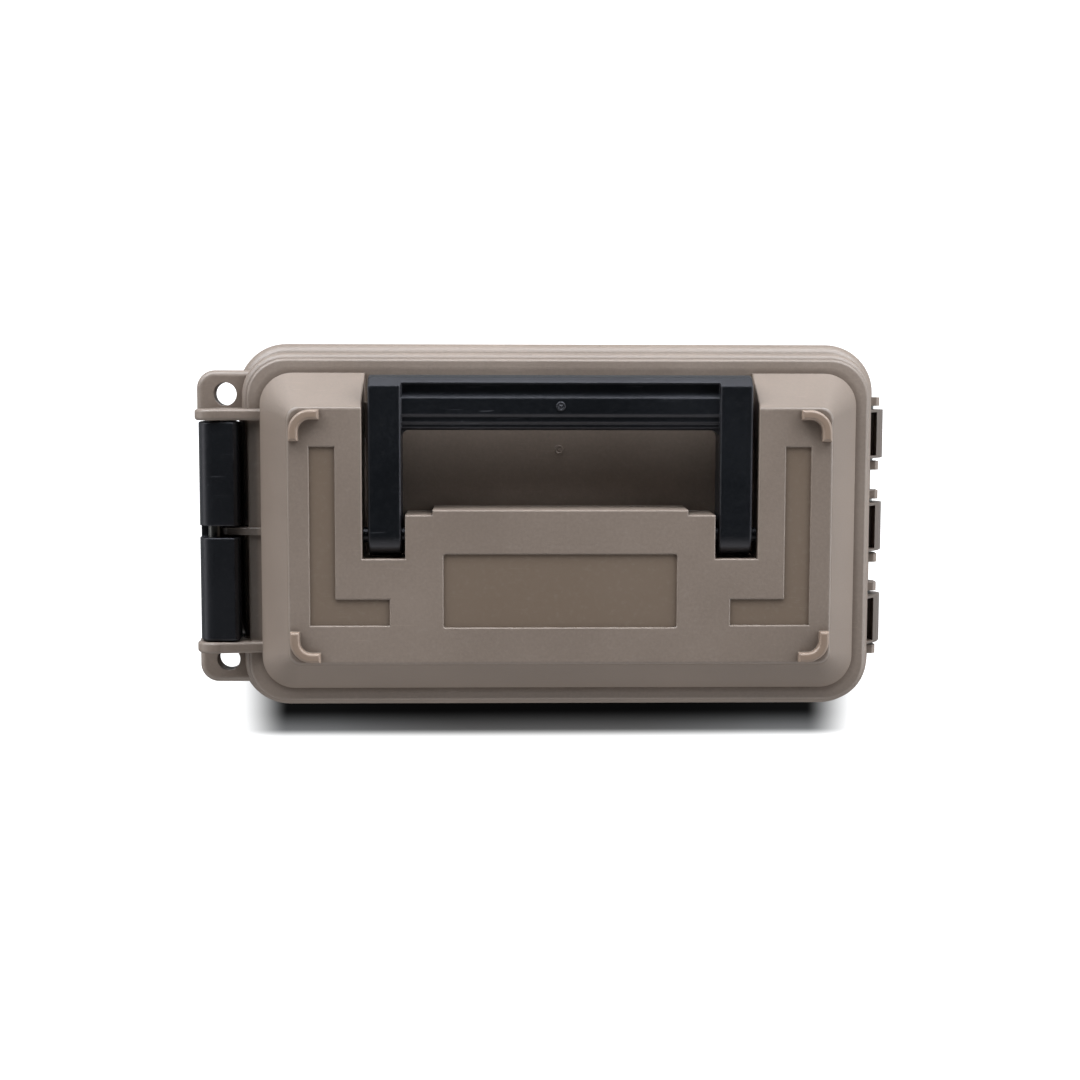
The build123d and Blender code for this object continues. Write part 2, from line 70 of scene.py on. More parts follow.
# where the lid's colour changes: heights above its top, and distances past the latch and the hinge, where
# shade is painted on the lid
RIB_FADE = (0.3 * MM, 0.8 * MM)
LATCH_FADE = (9.5 * MM, 6.5 * MM)
EAR_FADE = (1 * MM, -1 * MM)
HINGE_FADE = (-1.5 * MM, -0.5 * MM)

# the moulding marks: their places, bodies, slots and materials
POCKET_GATE = (0.0, 33.0 * MM, 156.3 * MM)
GRIP_GATE = (0.0, 50.8 * MM, 178.4 * MM)
GATE_PLACES = (
    ("pocket_gate", POCKET_GATE, "lid", "tan_plastic", "tan_plastic_lid"),
    ("grip_gate", GRIP_GATE, "handle", "black_plastic", "black_plastic_handle"),
)
EJECTOR_ROWS = {"latch": -1, "middle": 0, "hinge": 1}
EJECTOR_SIDES = {"far": -1, "grip": 1}

# the shadow painted on the floor beside the can: how far it runs past the far side and the ends
SHADE_STARTS = (-30.0 * MM, -4.0 * MM)
SHADE_STOPS = (42.5 * MM, 37.0 * MM)
SHADE_PALES = (27.5 * MM, 40.5 * MM)
SHADE_PALEST = 0.33
SHADE_ENDS = (12.0 * MM, -20.0 * MM)
SHADE_SHIFT = 6 * MM

# softboxes: bearing and height in degrees, width and height in metres
SOFTBOX_TARGET = Vector((0.0, 0.0, 0.12))
SOFTBOX_REACH = 1.35
RIGHT_SHARE = 0.93
SOFTBOXES = {
    "key_softbox": (0, 15, 1.4, 0.5),
    "key_softbox_right": (40, 20, 0.9, 0.5),
    "key_softbox_left": (-40, 20, 0.9, 0.5),
    "end_softbox": (90, 18, 0.9, 0.5),
}

# the camera above the lid: its place, and its turns in radians
CAMERA_PLACE = (-0.0252, 0.0656, 0.880)
CAMERA_PITCH, CAMERA_YAW, CAMERA_ROLL = 0.0952, 0.0245, -0.002


# ---------------------------------------------------------------- settings


class CAN_PG_finish(bpy.types.PropertyGroup):
    tan: FloatVectorProperty(
        name="Tan",
        description="Main colour of the tub and lid",
        subtype="COLOR",
        size=3,
        min=0.0,
        max=1.0,
        default=(0.190, 0.148, 0.120),
    )
    recess_tan: FloatVectorProperty(
        name="Recess tan",
        description="Browner, smoother colour of the recessed panels in the lid",
        subtype="COLOR",
        size=3,
        min=0.0,
        max=1.0,
        default=(0.147, 0.106, 0.076),
    )
    rib_tan: FloatVectorProperty(
        name="Rib tan",
        description="Warmer colour of the stacking ribs, which other cans rub on",
        subtype="COLOR",
        size=3,
        min=0.0,
        max=1.0,
        default=(0.225, 0.160, 0.118),
    )
    black: FloatVectorProperty(
        name="Black",
        description="Colour of the handle and latch",
        subtype="COLOR",
        size=3,
        min=0.0,
        max=1.0,
        default=(0.0036, 0.0044, 0.0056),
    )
    steel: FloatVectorProperty(
        name="Steel",
        description="Colour of the dark phosphated pins",
        subtype="COLOR",
        size=3,
        min=0.0,
        max=1.0,
        default=(0.12, 0.12, 0.115),
    )
    seal: FloatVectorProperty(
        name="Seal",
        description="Colour of the gasket's rubber",
        subtype="COLOR",
        size=3,
        min=0.0,
        max=1.0,
        default=(0.022, 0.022, 0.022),
    )
    grain_size: FloatProperty(
        name="Grain size",
        description="Width of one pit of the moulded grain",
        unit="LENGTH",
        min=0.0001,
        max=0.005,
        default=0.0006,
    )
    edge_radius: FloatProperty(
        name="Edge radius",
        description="Rounding that the light shows on moulded edges",
        unit="LENGTH",
        min=0.0,
        max=0.002,
        default=0.00035,
    )
    black_edge_radius: FloatProperty(
        name="Black edge radius",
        description="Rounding that the light shows on the edges of the handle and latch",
        unit="LENGTH",
        min=0.0,
        max=0.003,
        default=0.0009,
    )
    # paler edges: partly rubbed wear, partly a painted edge highlight
    edge_wear_and_highlight: FloatProperty(
        name="Edge wear",
        description="How much paler the rubbed edges are",
        min=0.0,
        max=1.0,
        default=0.5,
    )
    # painted shade in the inner corners, together with grime
    shade_and_grime: FloatProperty(
        name="Corner shade and grime",
        description="How dirty the inner corners of the tan plastic are",
        min=0.0,
        max=1.0,
        default=0.8,
    )
    # shade painted on the lid where the latch lever overhangs it
    painted_latch_shade: FloatProperty(
        name="Latch grime",
        description="How dark the lid is where the latch covers it",
        min=0.0,
        max=1.0,
        default=0.82,
    )
    # shade painted on the lid's hinge knuckles
    painted_hinge_shade: FloatProperty(
        name="Hinge grime",
        description="How dark the lid's hinge knuckles are",
        min=0.0,
        max=1.0,
        default=0.6,
    )
    # how far the painted corner shade and grime spread
    corner_shade_reach: FloatProperty(
        name="Grime reach",
        description="How far the grime spreads from an inner corner",
        unit="LENGTH",
        min=0.001,
        max=0.03,
        default=0.007,
    )


class CAN_PG_marks(bpy.types.PropertyGroup):
    gate_radius: FloatProperty(
        name="Gate radius",
        description="Outer radius of the ring round an injection gate",
        unit="LENGTH",
        default=0.0019,
    )
    gate_height: FloatProperty(
        name="Gate height",
        description="How far the ring stands proud",
        unit="LENGTH",
        default=0.0002,
    )
    tub_floor: FloatProperty(
        name="Tub floor",
        description="Thickness of the tub's floor, which the ejector marks stand on",
        unit="LENGTH",
        default=0.0035,
    )
    ejector_radius: FloatProperty(
        name="Ejector radius",
        description="Radius of the round marks that the ejector pins leave inside",
        unit="LENGTH",
        default=0.004,
    )
    ejector_height: FloatProperty(
        name="Ejector height",
        description="How far an ejector mark stands proud",
        unit="LENGTH",
        default=0.00025,
    )


class CAN_PG_studio(bpy.types.PropertyGroup):
    lens: FloatProperty(
        name="Lens",
        description="Focal length of the camera",
        unit="CAMERA",
        default=60.0,
    )
    key_power: FloatProperty(
        name="Key power",
        description="Power of each softbox on the grip side",
        unit="POWER",
        default=15.0,
    )
    key_colour: FloatVectorProperty(
        name="Key colour",
        description="Cool colour of the softboxes",
        subtype="COLOR",
        size=3,
        min=0.0,
        max=1.0,
        default=(0.90, 0.95, 1.0),
    )
    side_power: FloatProperty(
        name="Side power",
        description="Power of the softbox at the hinge end",
        unit="POWER",
        default=5.5,
    )
    room: FloatProperty(
        name="Room light",
        description="Strength of the light that comes in level from all round",
        min=0.0,
        max=6.0,
        default=2.6,
    )
    far_sky: FloatProperty(
        name="Far sky",
        description="Strength of the soft light from above the far side",
        min=0.0,
        max=6.0,
        default=0.9,
    )
    # the floor is lifted evenly to white, except where the shadow beside the can is painted
    floor_glow: FloatProperty(
        name="Floor glow",
        description="How far the floor is lifted to white, except in the shade beside the can",
        min=0.0,
        max=2.0,
        default=1.1,
    )
    floor: FloatVectorProperty(
        name="Floor",
        description="Colour of the floor",
        subtype="COLOR",
        size=3,
        min=0.0,
        max=1.0,
        default=(0.35, 0.35, 0.35),
    )


# ---------------------------------------------------------------- node building


def add_node(tree, kind, values=None, **settings):
    """A node with its settings, and its input sockets filled by name or number."""
    made = tree.nodes.new(kind)
    for name, value in settings.items():
        setattr(made, name, value)
    for name, value in (values or {}).items():
        socket = made.inputs[name]
        if isinstance(value, bpy.types.NodeSocket):
            tree.links.new(value, socket)
        else:
            socket.default_value = value
    return made


def calc(tree, operation, a, b=0.0, c=0.0, clamp=False):
    made = add_node(tree, "ShaderNodeMath", {0: a, 1: b, 2: c}, operation=operation, use_clamp=clamp)
    return made.outputs[0]


def product(tree, a, b):
    return calc(tree, "MULTIPLY", a, b)


def ramp_between(tree, value, low, high, to_low=0.0, to_high=1.0):
    """value brought from low..high to to_low..to_high, with soft ends."""
    made = add_node(
        tree,
        "ShaderNodeMapRange",
        {"Value": value, "From Min": low, "From Max": high, "To Min": to_low, "To Max": to_high},
        interpolation_type="SMOOTHSTEP",
    )
    return made.outputs["Result"]


def blend_colour(tree, factor, a, b, mode="MIX"):
    made = tree.nodes.new("ShaderNodeMix")
    made.data_type = "RGBA"
    made.blend_type = mode
    for place, value in ((0, factor), (6, a), (7, b)):
        if isinstance(value, bpy.types.NodeSocket):
            tree.links.new(value, made.inputs[place])
        else:
            made.inputs[place].default_value = value
    return made.outputs[2]


def noise(tree, vector, scale, detail=2.0, roughness=0.5):
    made = add_node(
        tree,
        "ShaderNodeTexNoise",
        {"Vector": vector, "Scale": scale, "Detail": detail, "Roughness": roughness},
    )
    return made.outputs["Fac"]


def new_group(name, inputs, outputs):
    tree = bpy.data.node_groups.new(name, "ShaderNodeTree")
    for label, kind, default in inputs:
        socket = tree.interface.new_socket(label, in_out="INPUT", socket_type=kind)
        if default is not None:
            socket.default_value = default
    for label, kind in outputs:
        tree.interface.new_socket(label, in_out="OUTPUT", socket_type=kind)
    return tree, tree.nodes.new("NodeGroupInput"), tree.nodes.new("NodeGroupOutput")


def use_group(tree, group, values):
    made = tree.nodes.new("ShaderNodeGroup")
    made.node_tree = group
    for name, value in values.items():
        if isinstance(value, bpy.types.NodeSocket):
            tree.links.new(value, made.inputs[name])
        else:
            made.inputs[name].default_value = value
    return made.outputs


def rgba(colour):
    return (colour[0], colour[1], colour[2], 1.0)


# ---------------------------------------------------------------- shared effects


def make_grain_group():
    """Spark-eroded mould texture: fine pits, and slow mottling of the tone."""
    tree, inside, outside = new_group(
        "moulded_grain",
        [("Vector", "NodeSocketVector", None), ("Size", "NodeSocketFloat", 0.0006)],
        [("Height", "NodeSocketFloat"), ("Tone", "NodeSocketFloat")],
    )
    where = inside.outputs["Vector"]
    scale = calc(tree, "DIVIDE", 1.0, inside.outputs["Size"])
    pits = noise(tree, where, scale, 3.0, 0.6)
    waves = noise(tree, where, product(tree, scale, 0.12), 2.0, 0.5)
    height = calc(tree, "MULTIPLY_ADD", waves, 0.35, product(tree, pits, 0.65))
    slow = noise(tree, where, 16.0, 3.0, 0.55)
    speckle = noise(tree, where, product(tree, scale, 0.5), 1.0, 0.5)
    tone = calc(tree, "MULTIPLY_ADD", slow, 0.6, product(tree, speckle, 0.4))
    tree.links.new(height, outside.inputs["Height"])
    tree.links.new(ramp_between(tree, tone, 0.3, 0.7), outside.inputs["Tone"])
    return tree


def make_edge_group():
    """Rounded moulded edges: the softened normal, and a broken mask along the edges for rubbed wear and a
    painted edge highlight.
    """
    tree, inside, outside = new_group(
        "moulded_edges",
        [("Vector", "NodeSocketVector", None), ("Radius", "NodeSocketFloat", 0.0004)],
        [("Normal", "NodeSocketVector"), ("Wear and highlight", "NodeSocketFloat")],
    )
    bevel = tree.nodes.new("ShaderNodeBevel")
    bevel.samples = 4
    tree.links.new(inside.outputs["Radius"], bevel.inputs["Radius"])
    plain = tree.nodes.new("ShaderNodeNewGeometry")
    along = add_node(
        tree,
        "ShaderNodeVectorMath",
        {0: bevel.outputs["Normal"], 1: plain.outputs["Normal"]},
        operation="DOT_PRODUCT",
    )
    turned = ramp_between(tree, along.outputs["Value"], 0.99, 0.80)
    patches = ramp_between(tree, noise(tree, inside.outputs["Vector"], 140.0, 4.0, 0.6), 0.38, 0.62)
    tree.links.new(bevel.outputs["Normal"], outside.inputs["Normal"])
    tree.links.new(product(tree, turned, patches), outside.inputs["Wear and highlight"])
    return tree


def make_handling_group():
    """What use leaves: thin scratches in two directions, and dust that settles on top."""
    tree, inside, outside = new_group(
        "handling_marks",
        [("Vector", "NodeSocketVector", None)],
        [("Scratch", "NodeSocketFloat"), ("Scuff", "NodeSocketFloat"), ("Dust", "NodeSocketFloat")],
    )
    where = inside.outputs["Vector"]
    streaks = []
    for turn, long_scale, thin_scale in ((0.6, 60.0, 1100.0), (-0.9, 90.0, 1500.0)):
        turned = add_node(
            tree,
            "ShaderNodeMapping",
            {"Vector": where, "Rotation": (0.0, 0.0, turn), "Scale": (long_scale, thin_scale, thin_scale)},
        )
        streaks.append(ramp_between(tree, noise(tree, turned.outputs[0], 1.0, 0.0), 0.76, 0.80))
    both = calc(tree, "MAXIMUM", streaks[0], streaks[1])
    where_rubbed = ramp_between(tree, noise(tree, where, 22.0, 2.0), 0.5, 0.68)
    scuffed = ramp_between(tree, noise(tree, where, 170.0, 5.0, 0.72), 0.66, 0.71)
    geometry = tree.nodes.new("ShaderNodeNewGeometry")
    apart = add_node(tree, "ShaderNodeSeparateXYZ", {0: geometry.outputs["Normal"]})
    upward = ramp_between(tree, apart.outputs["Z"], 0.5, 1.0)
    specks = ramp_between(tree, noise(tree, where, 420.0, 4.0, 0.7), 0.5, 0.75)
    tree.links.new(product(tree, both, where_rubbed), outside.inputs["Scratch"])
    tree.links.new(product(tree, scuffed, where_rubbed), outside.inputs["Scuff"])
    tree.links.new(product(tree, upward, specks), outside.inputs["Dust"])
    return tree


def make_corner_shade_group():
    """Painted shade and grime where surfaces meet: a broken mask, 1 in the deepest corners."""
    tree, inside, outside = new_group(
        "corner_shade_and_grime",
        [("Vector", "NodeSocketVector", None), ("Reach", "NodeSocketFloat", 0.008)],
        [("Corner shade and grime", "NodeSocketFloat")],
    )
    open_sky = tree.nodes.new("ShaderNodeAmbientOcclusion")
    open_sky.samples = 6
    open_sky.only_local = True
    tree.links.new(inside.outputs["Reach"], open_sky.inputs["Distance"])
    deep = ramp_between(tree, open_sky.outputs["AO"], 0.95, 0.45)
    broken = ramp_between(tree, noise(tree, inside.outputs["Vector"], 90.0, 4.0, 0.6), 0.25, 0.75, 0.7, 1.0)
    tree.links.new(product(tree, deep, broken), outside.inputs["Corner shade and grime"])
    return tree


def start_material(name):
    """A new material with its shader, its tree, and the object coordinates that its patterns read."""
    material = bpy.data.materials.new(name)
    material.use_nodes = True
    tree = material.node_tree
    tree.nodes.clear()
    shader = tree.nodes.new("ShaderNodeBsdfPrincipled")
    output = tree.nodes.new("ShaderNodeOutputMaterial")
    tree.links.new(shader.outputs["BSDF"], output.inputs["Surface"])
    where = tree.nodes.new("ShaderNodeTexCoord").outputs["Object"]
    return material, tree, shader, where


def band(tree, value, middle, half, soft):
    """1 where value is within half of middle, falling to 0 over soft."""
    away = calc(tree, "ABSOLUTE", calc(tree, "SUBTRACT", value, middle))
    return ramp_between(tree, away, half + soft, half)


def wear(tree, marks, scratch, scuff):
    """How worn the surface is, with the weights of its scratches and scuffs."""
    return calc(tree, "ADD", product(tree, marks["Scratch"], scratch), product(tree, marks["Scuff"], scuff))


def roughen(tree, shader, edges, height, strength, depth):
    """Feeds the shader's normal with a height, on top of the softened edges."""
    bump = add_node(
        tree,
        "ShaderNodeBump",
        {"Strength": strength, "Distance": depth, "Height": height, "Normal": edges["Normal"]},
    )
    tree.links.new(bump.outputs["Normal"], shader.inputs["Normal"])


def fade(tree, value, edge, offsets):
    """0 to 1 as the value goes from the first offset past the edge to the second."""
    return ramp_between(tree, value, edge + offsets[0], edge + offsets[1])


def tint_lid(tree, look, where, colour, lid_top):
    """The lid's colour with its recesses, ribs and the shade painted at its latch and hinge, and how deep
    its grain is.
    """
    place = add_node(tree, "ShaderNodeSeparateXYZ", {0: where})
    in_recess = band(tree, place.outputs["Z"], lid_top - RECESS_DEEP, 0.12 * MM, 0.1 * MM)
    colour = blend_colour(tree, in_recess, colour, rgba(look.recess_tan))
    strength = ramp_between(tree, in_recess, 0.0, 1.0, 1.0, 0.35)
    on_ribs = fade(tree, place.outputs["Z"], lid_top, RIB_FADE)
    colour = blend_colour(tree, on_ribs, colour, rgba(look.rib_tan))

    # painted shade: the lid is darkened where the latch lever overhangs it between its ears, and on the
    # hinge knuckles
    lever_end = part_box("latch_lever")[1]
    behind = fade(tree, place.outputs["X"], lever_end.x, LATCH_FADE)
    from_middle = calc(tree, "ABSOLUTE", place.outputs["Y"])
    between_ears = fade(tree, from_middle, lever_end.y, EAR_FADE)
    shade_at_latch = product(tree, product(tree, behind, between_ears), look.painted_latch_shade)
    hinge_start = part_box("hinge_pin_middle")[0].x
    on_knuckles = fade(tree, place.outputs["X"], hinge_start, HINGE_FADE)
    shade_at_hinge = product(tree, on_knuckles, look.painted_hinge_shade)
    painted_shade = calc(tree, "MAXIMUM", shade_at_latch, shade_at_hinge)
    colour = blend_colour(tree, painted_shade, colour, rgba([c * 0.2 for c in look.tan]))
    return colour, strength


def make_tan(look, groups, name, lid_top):
    """Matte tan polypropylene, darkened in its corners by painted shade and grime, and paler on its edges
    from wear and a painted highlight; lid_top marks the lid's.
    """
    material, tree, shader, where = start_material(name)
    grain = use_group(tree, groups["grain"], {"Vector": where, "Size": look.grain_size})
    edges = use_group(tree, groups["edges"], {"Vector": where, "Radius": look.edge_radius})
    marks = use_group(tree, groups["handling"], {"Vector": where})
    light_tan = [min(1.0, c * 1.09) for c in look.tan]
    dark_tan = [c * 0.92 for c in look.tan]
    colour = blend_colour(tree, grain["Tone"], rgba(dark_tan), rgba(light_tan))
    strength = 1.0
    if lid_top is not None:
        colour, strength = tint_lid(tree, look, where, colour, lid_top)
    # painted shade and grime in the inner corners, from an occlusion mask broken by noise
    shade_and_grime = use_group(tree, groups["shade_and_grime"], {"Vector": where, "Reach": look.corner_shade_reach})
    shade_and_dirt_colour = [0.55 * look.tan[0], 0.50 * look.tan[1], 0.45 * look.tan[2]]
    colour = blend_colour(tree, product(tree, shade_and_grime["Corner shade and grime"], look.shade_and_grime), colour, rgba(shade_and_dirt_colour))
    # paler edges, partly rubbed wear and partly a painted highlight; the scratches below are wear
    pale_wear_and_highlight = [min(1.0, c * 1.7 + 0.03) for c in look.tan]
    colour = blend_colour(tree, product(tree, edges["Wear and highlight"], look.edge_wear_and_highlight), colour, rgba(pale_wear_and_highlight))
    worn = wear(tree, marks, 0.16, 0.12)
    colour = blend_colour(tree, worn, colour, rgba(pale_wear_and_highlight))
    colour = blend_colour(tree, product(tree, marks["Dust"], 0.05), colour, (0.45, 0.42, 0.38, 1.0))
    tree.links.new(colour, shader.inputs["Base Color"])
    rough = ramp_between(tree, grain["Tone"], 0.0, 1.0, 0.42, 0.52)
    rough = calc(tree, "SUBTRACT", rough, product(tree, edges["Wear and highlight"], 0.12))
    tree.links.new(rough, shader.inputs["Roughness"])
    roughen(tree, shader, edges, product(tree, grain["Height"], strength), 0.55, 0.12 * MM)
    shader.inputs["IOR"].default_value = 1.49
    shader.inputs["Specular IOR Level"].default_value = 0.75
    return material


def make_black(look, groups, name, rough_low, rough_high):
    """Satin black glass-filled plastic, with grey edges from rubbed wear and a painted highlight, and
    hairline scratches.
    """
    material, tree, shader, where = start_material(name)
    grain = use_group(tree, groups["grain"], {"Vector": where, "Size": look.grain_size * 0.7})
    edges = use_group(tree, groups["edges"], {"Vector": where, "Radius": look.black_edge_radius})
    marks = use_group(tree, groups["handling"], {"Vector": where})
    deep = [c * 0.8 for c in look.black]
    lifted = [c * 1.35 for c in look.black]
    colour = blend_colour(tree, grain["Tone"], rgba(deep), rgba(lifted))
    # grey edges, partly rubbed wear and partly a painted highlight
    grey_wear_and_highlight = (0.05, 0.052, 0.060, 1.0)
    colour = blend_colour(tree, product(tree, edges["Wear and highlight"], look.edge_wear_and_highlight), colour, grey_wear_and_highlight)
    worn = wear(tree, marks, 0.35, 0.6)
    colour = blend_colour(tree, worn, colour, (0.07, 0.072, 0.08, 1.0))
    colour = blend_colour(tree, product(tree, marks["Dust"], 0.012), colour, (0.35, 0.34, 0.33, 1.0))
    tree.links.new(colour, shader.inputs["Base Color"])
    rough = ramp_between(tree, grain["Tone"], 0.0, 1.0, rough_low, rough_high)
    rough = calc(tree, "ADD", rough, product(tree, marks["Scratch"], 0.15), clamp=True)
    tree.links.new(rough, shader.inputs["Roughness"])
    roughen(tree, shader, edges, grain["Height"], 0.35, 0.08 * MM)
    shader.inputs["IOR"].default_value = 1.5
    shader.inputs["Specular IOR Level"].default_value = 0.48
    shader.inputs["Specular Tint"].default_value = (0.93, 0.91, 1.0, 1.0)
    return material


def make_steel(look, groups):
    """Dark phosphated steel pin: drawn lines along its length and dull blotches."""
    material, tree, shader, where = start_material("steel_pin")
    drawn = add_node(tree, "ShaderNodeMapping", {"Vector": where, "Scale": (2500.0, 60.0, 2500.0)})
    lines = noise(tree, drawn.outputs[0], 1.0, 3.0)
    blotch = noise(tree, where, 350.0, 3.0)
    edges = use_group(tree, groups["edges"], {"Vector": where, "Radius": look.edge_radius * 0.6})
    dull = [c * 0.72 for c in look.steel]
    colour = blend_colour(tree, ramp_between(tree, blotch, 0.35, 0.7), rgba(look.steel), rgba(dull))
    tree.links.new(colour, shader.inputs["Base Color"])
    tree.links.new(ramp_between(tree, blotch, 0.3, 0.7, 0.28, 0.45), shader.inputs["Roughness"])
    roughen(tree, shader, edges, lines, 0.25, 0.03 * MM)
    shader.inputs["Metallic"].default_value = 1.0
    return material


def make_rubber(look, groups):
    """Soft closed-cell rubber with fine pores and a dusting of talc."""
    material, tree, shader, where = start_material("seal_rubber")
    grain = use_group(tree, groups["grain"], {"Vector": where, "Size": look.grain_size * 1.3})
    edges = use_group(tree, groups["edges"], {"Vector": where, "Radius": look.edge_radius * 2})
    talc = ramp_between(tree, noise(tree, where, 260.0, 4.0, 0.7), 0.5, 0.75)
    colour = blend_colour(tree, product(tree, talc, 0.12), rgba(look.seal), (0.3, 0.3, 0.29, 1.0))
    tree.links.new(colour, shader.inputs["Base Color"])
    tree.links.new(ramp_between(tree, grain["Tone"], 0.0, 1.0, 0.74, 0.9), shader.inputs["Roughness"])
    roughen(tree, shader, edges, grain["Height"], 0.6, 0.15 * MM)
    return material


# ---------------------------------------------------------------- modelling helpers


def clear_selection():
    """Leaves edit mode and deselects everything."""
    if bpy.context.object is not None and bpy.context.object.mode != "OBJECT":
        bpy.ops.object.mode_set(mode="OBJECT")
    bpy.ops.object.select_all(action="DESELECT")


def begin_edit(piece):
    """Opens one piece in edit mode with none of its faces selected."""
    clear_selection()
    piece.select_set(True)
    bpy.context.view_layer.objects.active = piece
    bpy.ops.object.mode_set(mode="EDIT")
    bpy.ops.mesh.select_mode(type="FACE")
    bpy.ops.mesh.select_all(action="DESELECT")


def pick_faces(piece, wanted):
    """Selects, in edit mode, only the faces for which wanted(face) is true."""
    mesh = bmesh.from_edit_mesh(piece.data)
    picked = 0
    for face in mesh.faces:
        face.select_set(bool(wanted(face)))
        picked += face.select
    bmesh.update_edit_mesh(piece.data)
    if not picked:
        raise RuntimeError("no face of " + piece.name + " was picked")


def settle(piece, name, body, material):
    """Applies the piece's place to its mesh, smooths it, and hands it to its body."""
    clear_selection()
    piece.select_set(True)
    bpy.context.view_layer.objects.active = piece
    bpy.ops.object.transform_apply(location=True, rotation=True, scale=True)
    bpy.ops.object.shade_smooth_by_angle(angle=radians(35))
    piece.name = name
    piece.data.name = name
    piece.data.materials.clear()
    piece.data.materials.append(material)
    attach(piece, body)
    clear_selection()


def round_mark(centre, radius, height, dimple, segments=40):
    """A low round boss on a face that looks along +Z, with a dished middle and a stub in it."""
    clear_selection()
    sunk = 0.1 * MM
    bpy.ops.mesh.primitive_cylinder_add(
        vertices=segments,
        radius=radius,
        depth=height + sunk,
        location=(centre[0], centre[1], centre[2] + (height - sunk) / 2),
    )
    mark = bpy.context.object
    begin_edit(mark)
    pick_faces(mark, lambda f: f.normal.z > 0.9)
    bpy.ops.mesh.inset(thickness=radius * 0.3, depth=0.0)
    bpy.ops.mesh.inset(thickness=radius * 0.12, depth=-dimple)
    bpy.ops.mesh.inset(thickness=radius * 0.25, depth=0.0)
    bpy.ops.mesh.inset(thickness=radius * 0.08, depth=dimple * 0.7)
    bpy.ops.object.mode_set(mode="OBJECT")
    soft = mark.modifiers.new("soft", "BEVEL")
    soft.width = height * 0.3
    soft.segments = 2
    soft.limit_method = "ANGLE"
    bpy.ops.object.modifier_apply(modifier=soft.name)
    return mark


# ---------------------------------------------------------------- stage


def painted_floor_shadow(tree, where):
    """How deep the shadow painted on the floor beside the can is: all of it, and the part painted paler, as
    if it still took some light.
    """
    low, high = cad_box
    place = add_node(tree, "ShaderNodeSeparateXYZ", {0: where})
    middle, half = (low.x + high.x) / 2 + SHADE_SHIFT, (high.x - low.x) / 2 + SHADE_SHIFT
    from_middle = calc(tree, "ABSOLUTE", calc(tree, "SUBTRACT", place.outputs["X"], middle))
    past_end = calc(tree, "SUBTRACT", from_middle, half)
    past_side = calc(tree, "SUBTRACT", low.y, place.outputs["Y"])
    beside = product(
        tree,
        ramp_between(tree, past_side, *SHADE_STOPS),
        ramp_between(tree, past_side, *SHADE_STARTS),
    )
    shade = product(tree, ramp_between(tree, past_end, *SHADE_ENDS), beside)
    depth = ramp_between(tree, past_side, *SHADE_PALES, 1.0, SHADE_PALEST)
    return shade, product(tree, shade, depth)


def lay_floor(studio):
    """A wide paper floor, lifted to white for the camera but for the shadow painted on it beside the can.
    """
    clear_selection()
    bpy.ops.mesh.primitive_plane_add(size=12.0, location=(0.0, 0.0, 0.0))
    floor = bpy.context.object
    floor.name = "floor"
    material, tree, shader, where = start_material("floor_paper")
    darker = [c * 0.985 for c in studio.floor]
    paper = blend_colour(tree, noise(tree, where, 900.0, 2.0), rgba(studio.floor), rgba(darker))
    shade, depth = painted_floor_shadow(tree, where)
    # painted shadow: the floor's colour goes towards near black where the shadow is painted
    colour = blend_colour(tree, depth, paper, (0.006, 0.006, 0.006, 1.0))
    tree.links.new(colour, shader.inputs["Base Color"])
    seen = tree.nodes.new("ShaderNodeLightPath").outputs["Is Camera Ray"]
    lifted = product(tree, calc(tree, "SUBTRACT", 1.0, shade), seen)
    tree.links.new(product(tree, lifted, studio.floor_glow), shader.inputs["Emission Strength"])
    shader.inputs["Emission Color"].default_value = (1.0, 1.0, 1.0, 1.0)
    shader.inputs["Roughness"].default_value = 0.9
    shader.inputs["Specular IOR Level"].default_value = 0.0
    floor.data.materials.append(material)


def light_room(scene, studio):
    """Soft light that comes in level all round, less of it from the far side, and more from above it."""
    world = bpy.data.worlds.new("room")
    scene.world = world
    world.use_nodes = True
    sky = world.node_tree
    back = sky.nodes["Background"]
    back.inputs["Color"].default_value = (1.0, 1.0, 1.0, 1.0)
    bearing = sky.nodes.new("ShaderNodeTexCoord").outputs["Generated"]
    toward = add_node(sky, "ShaderNodeSeparateXYZ", {0: bearing})
    rise = toward.outputs["Z"]
    from_far = ramp_between(sky, toward.outputs["Y"], -0.2, -0.7)
    low_down = ramp_between(sky, rise, 0.35, 0.05)
    high_up = ramp_between(sky, rise, 0.15, 0.45)
    shut_off = product(sky, product(sky, from_far, low_down), 0.55)
    level = ramp_between(sky, rise, 0.0, 0.6, studio.room, 0.0)
    level = product(sky, level, calc(sky, "SUBTRACT", 1.0, shut_off))
    level = calc(sky, "MULTIPLY_ADD", product(sky, from_far, high_up), studio.far_sky, level)
    direct = sky.nodes.new("ShaderNodeLightPath").outputs["Is Camera Ray"]
    strength = add_node(sky, "ShaderNodeMapRange", {"Value": direct, "To Min": level, "To Max": 1.0})
    sky.links.new(strength.outputs["Result"], back.inputs["Strength"])


